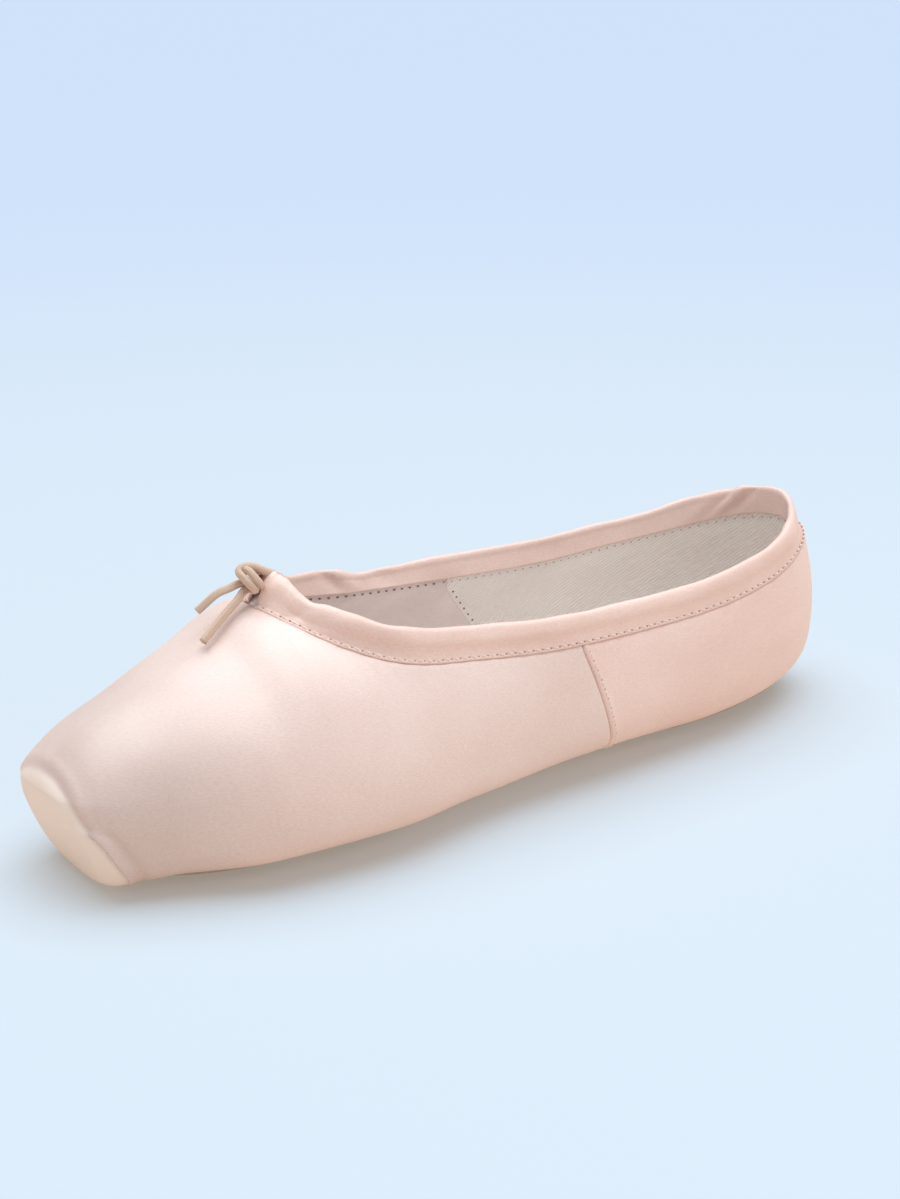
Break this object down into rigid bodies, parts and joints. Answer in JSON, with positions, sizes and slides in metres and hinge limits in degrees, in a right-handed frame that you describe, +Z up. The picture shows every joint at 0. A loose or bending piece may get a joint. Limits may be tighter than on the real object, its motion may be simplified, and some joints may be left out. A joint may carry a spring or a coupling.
{
  "type": "pointe shoe",
  "caption": "Satin ballet pointe shoe with a flat-ended stiffened toe box, hollow upper open at the collar, folded drawstring casing, thin leather outsole and insole.",
  "frame": {"origin": "on the floor, at the middle of the shoe's length and width", "axes": "+Y from the toe's flat end to the heel, +Z up, +X to the side"},
  "size_m": [0.0784, 0.235, 0.0669],
  "materials": {
    "pink_satin": "satin, soft broad sheen",
    "casing_satin": "satin, slightly rosier",
    "sole_leather": "matt suede side out",
    "lining_cloth": "matt woven cloth",
    "braided_cord": "matt round braid"
  },
  "bodies": {
    "root": {"upper": "pink_satin", "drawstring_casing": "casing_satin", "outsole": "sole_leather", "insole": "lining_cloth", "drawstring_knot": "braided_cord", "drawstring_end_left": "braided_cord", "drawstring_end_right": "braided_cord"}
  },
  "joints": []
}
